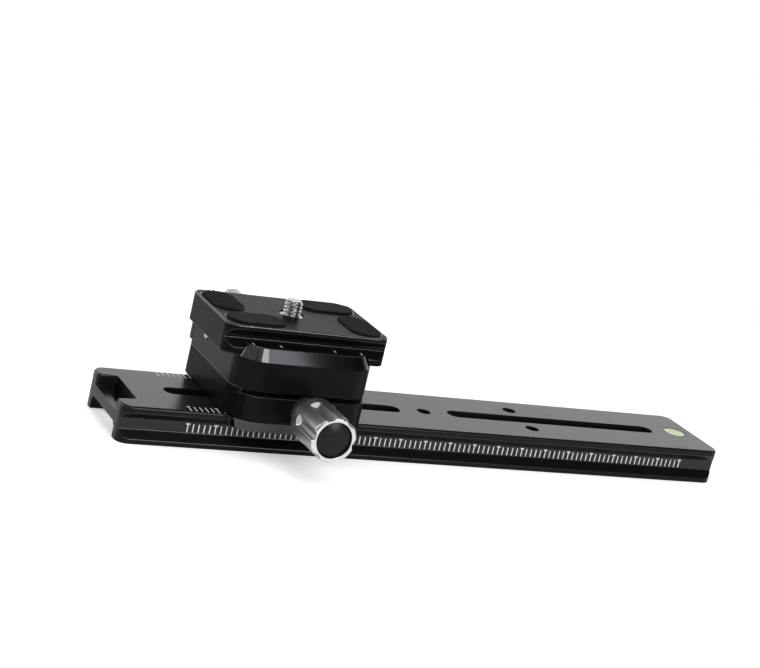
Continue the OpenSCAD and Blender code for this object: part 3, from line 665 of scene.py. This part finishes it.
# %% [markdown]
# ## Geometry Nodes for what repeats
# The ruler has a hundred strokes, the pads have ribs and the springs are coils. Each of these is
# a small tree with named inputs. `grow` runs a tree on an empty mesh, keeps the result as a
# plain mesh and removes the modifier, so nothing procedural is left for the exporter to drop.


# %% Geometry tree helpers
def maker(name, *inputs):
    """Geometry tree with named inputs, each given as (label, kind, value)."""
    tree = bpy.data.node_groups.new(name, "GeometryNodeTree")
    for label, kind, value in inputs:
        socket = tree.interface.new_socket(label, in_out="INPUT", socket_type="NodeSocket" + kind)
        if value is not None:
            socket.default_value = value
    tree.interface.new_socket("Mesh", in_out="OUTPUT", socket_type="NodeSocketGeometry")
    return tree, put(tree, "NodeGroupInput").outputs


def end_with(tree, shape, finish):
    """Ends a tree with Realize Instances and Set Material."""
    real = put(tree, "GeometryNodeRealizeInstances", {0: shape}).outputs[0]
    made = put(tree, "GeometryNodeSetMaterial", {"Geometry": real, "Material": finish}).outputs[0]
    put(tree, "NodeGroupOutput", {0: made})


def grow(name, tree, **values):
    """Plain mesh object made by a tree; values are matched to the inputs by their labels."""
    thing = add_object(name, bpy.data.meshes.new(name))
    run = thing.modifiers.new("maker", "NODES")
    run.node_group = tree
    for item in tree.interface.items_tree:
        if item.item_type == "SOCKET" and item.in_out == "INPUT":
            key = item.name.lower().replace(" ", "_")
            if key in values:
                run[item.identifier] = values[key]
    apply_modifiers(thing)
    print(name, len(thing.data.polygons), "faces")
    return thing


# %% [markdown]
# ### Ruler and index strokes
# The strokes are laser marks: a pale, slightly rough film on the black skin. A texture could
# draw them, but thin slabs keep their edges crisp at any distance and survive export. One tree
# lays a row of strokes and a second, wider row of bars that turns every fifth stroke into a T.

# %% Stroke rows
strokes, given = maker(
    "stroke_row", ("Count", "Int", 101), ("Step", "Vector", (0.002, 0, 0)),
    ("Start", "Vector", (0, 0, 0)), ("Stroke", "Vector", (0.0003, 0.00003, 0.003)),
    ("Bars", "Int", 21), ("Bar step", "Vector", (0.01, 0, 0)), ("Bar start", "Vector", (0, 0, 0)),
    ("Bar", "Vector", (0.0015, 0.00003, 0.0004)), ("Finish", "Material", None))


def slab_row(tree, count, step, start, size):
    """Row of flat slabs set on a line of points."""
    line = put(tree, "GeometryNodeMeshLine", {"Count": count, "Offset": step,
                                              "Start Location": start}).outputs[0]
    slab = put(tree, "GeometryNodeMeshCube", {"Size": size}).outputs[0]
    return put(tree, "GeometryNodeInstanceOnPoints", {"Points": line, "Instance": slab}).outputs[0]


rows = [slab_row(strokes, given["Count"], given["Step"], given["Start"], given["Stroke"]),
        slab_row(strokes, given["Bars"], given["Bar step"], given["Bar start"], given["Bar"])]
both = put(strokes, "GeometryNodeJoinGeometry")
for row in rows:
    strokes.links.new(row, both.inputs[0])
end_with(strokes, both.outputs[0], given["Finish"])

FILM = 0.03 * MM
RULER_START, RULER_STEP, RULER_COUNT = -95.6 * MM, 2 * MM, 101
NECK_Y, STROKE_LOW, STROKE_HIGH = 16.4 * MM, 4.6 * MM, 7.5 * MM
stroke_mid = (STROKE_LOW + STROKE_HIGH) / 2
for label, face_y in (("front", -NECK_Y), ("back", NECK_Y)):
    ruler = grow(f"ruler_{label}", strokes, finish=etched_white, count=RULER_COUNT,
                 step=(RULER_STEP, 0, 0), start=(RULER_START, face_y, stroke_mid),
                 stroke=(0.36 * MM, FILM, STROKE_HIGH - STROKE_LOW), bars=21,
                 bar_step=(5 * RULER_STEP, 0, 0), bar_start=(RULER_START, face_y, STROKE_HIGH),
                 bar=(1.4 * MM, FILM, 0.5 * MM))
    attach(ruler, "rail")

# %% [markdown]
# A second, shorter scale lies on the rail's top. Its strokes run in from both edges, and every
# fifth has a bar at its inner end. The clamp hides where it ends, so its length is a guess.

# %% Scale on the rail's top
SCALE_COUNT, SCALE_LENGTH, EDGE_Y = 26, 3.9 * MM, 18.7 * MM
for label, side, first in (("front", -1, -96.3 * MM), ("back", 1, -97.1 * MM)):
    middle_y = side * (EDGE_Y - SCALE_LENGTH / 2)
    bar_y = side * (EDGE_Y - SCALE_LENGTH)
    scale = grow(f"top_scale_{label}", strokes, finish=etched_white, count=SCALE_COUNT,
                 step=(RULER_STEP, 0, 0), start=(first, middle_y, RAIL_TOP),
                 stroke=(0.3 * MM, SCALE_LENGTH, FILM), bars=6,
                 bar_step=(5 * RULER_STEP, 0, 0), bar_start=(first, bar_y, RAIL_TOP),
                 bar=(1.3 * MM, 0.4 * MM, FILM))
    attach(scale, "rail")

# %% [markdown]
# Five index strokes stand on the fixed jaw of the upper clamp, 10 mm apart. They have no bars, so
# the tree's bar only repeats the middle stroke.

# %% Index strokes on the upper jaw
JAW_TOP, INDEX_Y, INDEX_STEP = 38.1 * MM, -18.9 * MM, 10 * MM
INDEX_STROKE = (0.4 * MM, 2.0 * MM, FILM)
index_marks = grow("index_strokes", strokes, finish=etched_white, count=5,
                   step=(INDEX_STEP, 0, 0), start=(CLAMP_X - 2 * INDEX_STEP, INDEX_Y, JAW_TOP),
                   stroke=INDEX_STROKE, bars=1, bar_step=(0, 0, 0),
                   bar_start=(CLAMP_X, INDEX_Y, JAW_TOP), bar=INDEX_STROKE)
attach(index_marks, "carriage")

# %% [markdown]
# ### Grip pads
# The pads are rubber ovals whose top is moulded into fine parallel ribs that run slantwise over
# the plate. The slab under the ribs is lofted in bmesh from stadium-shaped loops, because its
# rounded lip is easiest to give as a short list of insets and heights. A second, plain oval is
# the cutter: a tree lays a row of thin bars over each pad and keeps what lies inside the cutter,
# so the ribs end in teeth round the rim.

# %% Pad bodies
PLATE_X = CLAMP_X
PAD_L, PAD_W = 20.9 * MM, 11.7 * MM
PAD_BASE, PAD_TOP = -0.59 * MM, 0.6 * MM
PAD_PLACES = [(-22.7, 7.1, 90), (-17.5, -11.7, 0), (22.7, -7.1, 270), (17.5, 11.7, 180)]
RIB_R, RIB_PITCH, GROOVE = 0.55 * MM, 1.2 * MM, 0.28 * MM
SLAB_PROFILE = [(0.0, PAD_BASE), (0.0, PAD_TOP - 0.5 * MM), (0.08 * MM, PAD_TOP - 0.36 * MM),
                (0.25 * MM, PAD_TOP - GROOVE)]
CUTTER_PROFILE = [(0.10 * MM, 0.0), (0.10 * MM, PAD_TOP - 0.2 * MM),
                  (0.32 * MM, PAD_TOP + 0.1 * MM)]


def oval_loop(work, inset, z, steps=20):
    """Ring of vertices on a stadium outline drawn in by inset."""
    radius = PAD_W / 2 - inset
    reach = (PAD_L - PAD_W) / 2
    ring = []
    for end in (1, -1):
        for i in range(steps + 1):
            angle = math.pi * (i / steps - 0.5)
            ring.append(work.verts.new((end * (reach + radius * math.cos(angle)),
                                        end * radius * math.sin(angle), z)))
    return ring


def oval_solid(name, profile):
    """Closed solid lofted through stadium loops, given as (inset, height)."""
    work = bmesh.new()
    loops = [oval_loop(work, inset, z) for inset, z in profile]
    for low, high in zip(loops, loops[1:]):
        count = len(low)
        for i in range(count):
            work.faces.new((low[i], low[(i + 1) % count], high[(i + 1) % count], high[i]))
    work.faces.new(loops[-1])
    work.faces.new(list(reversed(loops[0])))
    bmesh.ops.recalc_face_normals(work, faces=work.faces)
    mesh = bpy.data.meshes.new(name)
    work.to_mesh(mesh)
    work.free()
    return add_object(name, mesh)


single_slab = oval_solid("single_slab", SLAB_PROFILE)
single_cutter = oval_solid("single_cutter", CUTTER_PROFILE)

# %% Ribbed pads
ribs, given = maker("ribbed_pads", ("Slab", "Object", None), ("Cutter", "Object", None),
                    ("Ribs", "Int", 23), ("Pitch", "Float", 0.0012), ("Radius", "Float", 0.0005),
                    ("Reach", "Float", 0.03), ("Slant", "Float", 0.785), ("Lift", "Float", 0.0),
                    ("Top", "Float", 0.0442), ("Finish", "Material", None))
bar = put(ribs, "GeometryNodeMeshCylinder", {"Vertices": 12, "Radius": given["Radius"],
                                             "Depth": given["Reach"]}).outputs[0]
lying = put(ribs, "GeometryNodeTransform", {"Geometry": bar,
                                            "Rotation": (0.0, math.pi / 2, 0.0)}).outputs[0]
gap = put(ribs, "ShaderNodeCombineXYZ", {"Y": given["Pitch"]}).outputs[0]
row_half = math_node(ribs, "MULTIPLY", math_node(ribs, "SUBTRACT", given["Ribs"], 1), -0.5)
row_start = put(ribs, "ShaderNodeCombineXYZ",
                {"Y": math_node(ribs, "MULTIPLY", row_half, given["Pitch"]),
                 "Z": given["Lift"]}).outputs[0]
row = put(ribs, "GeometryNodeMeshLine", {"Count": given["Ribs"], "Start Location": row_start,
                                         "Offset": gap}).outputs[0]
bars = put(ribs, "GeometryNodeInstanceOnPoints", {"Points": row, "Instance": lying}).outputs[0]
real_bars = put(ribs, "GeometryNodeRealizeInstances", {0: bars}).outputs[0]
slant = put(ribs, "ShaderNodeCombineXYZ", {"Z": given["Slant"]}).outputs[0]
field = put(ribs, "GeometryNodeTransform", {"Geometry": real_bars, "Rotation": slant}).outputs[0]
slab = put(ribs, "GeometryNodeObjectInfo", {"Object": given["Slab"]}).outputs["Geometry"]
cutter = put(ribs, "GeometryNodeObjectInfo", {"Object": given["Cutter"]}).outputs["Geometry"]
every = put(ribs, "GeometryNodeJoinGeometry")
for x, y, turn in PAD_PLACES:
    facing = (0, 0, math.radians(turn))
    seat = put(ribs, "ShaderNodeCombineXYZ", {"X": PLATE_X + x * MM, "Y": y * MM,
                                              "Z": given["Top"]}).outputs[0]
    turned_cutter = put(ribs, "GeometryNodeTransform", {"Geometry": cutter, "Rotation": facing})
    teeth = put(ribs, "GeometryNodeMeshBoolean", operation="INTERSECT")
    for part in (field, turned_cutter.outputs[0]):
        ribs.links.new(part, teeth.inputs["Mesh 2"])
    turned_slab = put(ribs, "GeometryNodeTransform", {"Geometry": slab, "Rotation": facing})
    pad = put(ribs, "GeometryNodeJoinGeometry")
    for part in (teeth.outputs[0], turned_slab.outputs[0]):
        ribs.links.new(part, pad.inputs[0])
    laid = put(ribs, "GeometryNodeTransform", {"Geometry": pad.outputs[0], "Translation": seat})
    ribs.links.new(laid.outputs[0], every.inputs[0])
end_with(ribs, every.outputs[0], given["Finish"])

pads = grow("grip_pads", ribs, slab=single_slab, cutter=single_cutter, ribs=23, pitch=RIB_PITCH,
            radius=RIB_R, reach=28 * MM, slant=math.radians(45), lift=PAD_TOP - RIB_R,
            top=PLATE_TOP, finish=grip_rubber)
for spare in (single_slab, single_cutter):
    bpy.data.objects.remove(spare)
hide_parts("plate_pads")
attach(pads, "plate")

# %% [markdown]
# ### Threads
# A thread is a cylinder whose radius rises and falls once per pitch while it climbs with the
# angle. That is a rule, so a tree can push the points of a fine cylinder in and out. The camera
# screw keeps its CAD head, cut off below the plate's top, and the threaded shank goes on it.

# %% Threaded shank
shank, given = maker("threaded_shank", ("Radius", "Float", 0.003), ("Depth", "Float", 0.0006),
                     ("Pitch", "Float", 0.001), ("Length", "Float", 0.01),
                     ("Taper", "Float", 0.0006), ("Rings", "Int", 80),
                     ("Place", "Vector", (0, 0, 0)), ("Turn", "Vector", (0, 0, 0)),
                     ("Finish", "Material", None))
rod = put(shank, "GeometryNodeMeshCylinder",
          {"Vertices": 40, "Side Segments": given["Rings"], "Radius": given["Radius"],
           "Depth": given["Length"]}).outputs[0]
point = put(shank, "GeometryNodeInputPosition").outputs[0]
axis = put(shank, "ShaderNodeSeparateXYZ", {0: point})
angle = math_node(shank, "ARCTAN2", axis.outputs["Y"], axis.outputs["X"])
climb = math_node(shank, "SUBTRACT", math_node(shank, "DIVIDE", axis.outputs["Z"], given["Pitch"]),
                  math_node(shank, "DIVIDE", angle, 2 * math.pi))
wave = math_node(shank, "ABSOLUTE", math_node(shank, "SUBTRACT",
                                              math_node(shank, "FRACT", climb), 0.5))
groove = math_node(shank, "MULTIPLY", math_node(shank, "MULTIPLY", wave, 2.0), given["Depth"])
half = math_node(shank, "MULTIPLY", given["Length"], 0.5)
to_end = math_node(shank, "SUBTRACT", half, axis.outputs["Z"])
point_cut = math_node(shank, "MAXIMUM", math_node(shank, "SUBTRACT", given["Taper"], to_end), 0.0)
cut = math_node(shank, "MAXIMUM", groove, point_cut)
share = math_node(shank, "SUBTRACT", 1.0, math_node(shank, "DIVIDE", cut, given["Radius"]))
spread = put(shank, "ShaderNodeCombineXYZ", {"X": share, "Y": share, "Z": 1.0}).outputs[0]
moved_point = vector_node(shank, "MULTIPLY", point, spread)
pushed = put(shank, "GeometryNodeSetPosition", {"Geometry": rod,
                                                "Position": moved_point}).outputs[0]
stood = put(shank, "GeometryNodeTransform", {"Geometry": pushed, "Translation": given["Place"],
                                             "Rotation": given["Turn"]}).outputs[0]
end_with(shank, stood, given["Finish"])


def clipped(node, name, place, normal, finish):
    """Copy of a CAD node without what lies past a plane, closed where it was cut."""
    mesh = merged_mesh(node, name)
    work = bmesh.new()
    work.from_mesh(mesh)
    everything = list(work.verts) + list(work.edges) + list(work.faces)
    made = bmesh.ops.bisect_plane(work, geom=everything, plane_co=place, plane_no=normal,
                                  clear_outer=True)
    edges = [item for item in made["geom_cut"] if isinstance(item, bmesh.types.BMEdge)]
    bmesh.ops.holes_fill(work, edges=edges)
    work.to_mesh(mesh)
    work.free()
    mesh.materials.clear()
    mesh.materials.append(finish)
    return add_object(name, mesh)


def joined(name, things):
    """One object that holds the meshes of several."""
    work = bmesh.new()
    for thing in things:
        work.from_mesh(thing.data)
    mesh = bpy.data.meshes.new(name)
    work.to_mesh(mesh)
    work.free()
    for finish in things[0].data.materials:
        mesh.materials.append(finish)
    for thing in things:
        bpy.data.objects.remove(thing)
    return add_object(name, mesh)


# %% Camera screw
SCREW_R, SCREW_PITCH, SCREW_END = 3.175 * MM, 1.27 * MM, 49.2 * MM
THREAD_DEPTH, POINT_TAPER = 0.62 * MM, 0.7 * MM
CUT_Z = 43.6 * MM
head = clipped("camera_screw", "screw_head", (0, 0, CUT_Z), (0, 0, 1), steel_upright)
head = break_edges(head, KNOB_EDGE, strip=-1)
thread = grow("screw_thread", shank, radius=SCREW_R, depth=THREAD_DEPTH, pitch=SCREW_PITCH,
              length=SCREW_END - CUT_Z, taper=POINT_TAPER, rings=64,
              place=(PLATE_X, 0, (CUT_Z + SCREW_END) / 2), turn=(0, 0, 0), finish=steel_upright)
camera_screw = joined("camera_screw_dressed", [head, thread])
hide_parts("camera_screw")
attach(camera_screw, "camera_screw")

# %% [markdown]
# ### Jaw springs
# Two small compression springs sit in pockets behind each moving jaw and push it open. They are
# coils, so a spiral curve with a round profile makes them. They stretch when the jaw opens.

# %% Springs
springs, given = maker("coil_pair", ("Turns", "Float", 5.0), ("Coil", "Float", 0.00235),
                       ("Wire", "Float", 0.00025), ("Height", "Float", 0.0059),
                       ("First", "Vector", (0, 0, 0)), ("Apart", "Vector", (0.03, 0, 0)),
                       ("Turn", "Vector", (0, 0, 0)), ("Finish", "Material", None))
spiral = put(springs, "GeometryNodeCurveSpiral",
             {"Resolution": 24, "Rotations": given["Turns"], "Start Radius": given["Coil"],
              "End Radius": given["Coil"], "Height": given["Height"]}).outputs[0]
round_wire = put(springs, "GeometryNodeCurvePrimitiveCircle",
                 {"Resolution": 8, "Radius": given["Wire"]}).outputs[0]
coil = put(springs, "GeometryNodeCurveToMesh", {"Curve": spiral, "Profile Curve": round_wire,
                                                "Fill Caps": True}).outputs[0]
turned_coil = put(springs, "GeometryNodeTransform", {"Geometry": coil,
                                                     "Rotation": given["Turn"]}).outputs[0]
pair = put(springs, "GeometryNodeMeshLine", {"Count": 2, "Start Location": given["First"],
                                             "Offset": given["Apart"]}).outputs[0]
set_pair = put(springs, "GeometryNodeInstanceOnPoints", {"Points": pair,
                                                         "Instance": turned_coil}).outputs[0]
end_with(springs, set_pair, given["Finish"])

PIN_X, COIL_R, WIRE_R = 15 * MM, 2.35 * MM, 0.25 * MM
for side, way in (("lower", -1), ("upper", 1)):
    low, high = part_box(f"{side}_jaw_springs")
    near, far = sorted((low.y, high.y), key=abs)
    coil_length = abs(far - near) - 2 * WIRE_R
    coil_start = near + way * WIRE_R
    coil_pair = grow(f"{side}_springs_dressed", springs, turns=5.0, coil=COIL_R,
                     wire=WIRE_R, height=coil_length, turn=(-way * math.pi / 2, 0, 0),
                     first=(CLAMP_X - PIN_X, coil_start, KNOB_Z[side]),
                     apart=(2 * PIN_X, 0, 0),
                     finish=spring_wire)
    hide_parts(f"{side}_jaw_springs")
    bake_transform(coil_pair)

# %% [markdown]
# ## The level
# A thin black ring frames the bubble. It is a hoop of round wire just under the vial's top face,
# where a real vial carries it.

# %% Level ring
hoop, given = maker("hoop", ("Radius", "Float", 0.002), ("Wire", "Float", 0.0001),
                    ("Place", "Vector", (0, 0, 0)), ("Finish", "Material", None))
circle = put(hoop, "GeometryNodeCurvePrimitiveCircle", {"Resolution": 64,
                                                        "Radius": given["Radius"]}).outputs[0]
section = put(hoop, "GeometryNodeCurvePrimitiveCircle", {"Resolution": 6,
                                                         "Radius": given["Wire"]}).outputs[0]
hooped = put(hoop, "GeometryNodeCurveToMesh", {"Curve": circle,
                                               "Profile Curve": section}).outputs[0]
moved = put(hoop, "GeometryNodeTransform", {"Geometry": hooped,
                                            "Translation": given["Place"]}).outputs[0]
end_with(hoop, moved, given["Finish"])
level_ring = grow("level_ring", hoop, radius=2.2 * MM, wire=0.09 * MM,
                  place=(LEVEL_X, 0, RAIL_TOP - 0.45 * MM), finish=cap_gloss)
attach(level_ring, "rail")

# %% [markdown]
# ## Small inner pieces
# The pins, screws, clips and washers show only when a jaw opens, and their CAD shapes are right
# as they are. They keep their own meshes and only get finishes.


# %% Finishes for the CAD nodes that stay
def dress(node, finish):
    """Gives a CAD node's material slots one finish."""
    data = nodes[node].data
    if not data.materials:
        data.materials.append(finish)
    for index in range(len(data.materials)):
        data.materials[index] = finish


dress("level_vial", vial_clear)
dress("level_liquid", level_green)
dress("joint_dowels", steel_upright)
dress("camera_screw_keeper", steel_upright)
for side in ("lower", "upper"):
    dress(f"{side}_guide_pins", steel_along[side])
    dress(f"{side}_clamp_screw", steel_along[side])
    dress(f"{side}_screw_clip", steel_along[side])
    dress(f"{side}_thrust_washer", washer_dark)
for node, thing in nodes.items():
    if thing.hide_render and not thing.data.materials:
        dress(node, satin_black)

# %% [markdown]
# ## Size
# The dressed model has to keep the CAD model's size. Both boxes are written for comparison.

boxes = {"cad": cad_box, "dressed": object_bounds()}
for name, box in boxes.items():
    print(name, "box in mm:", [[round(float(value) / MM, 2) for value in corner] for corner in box])
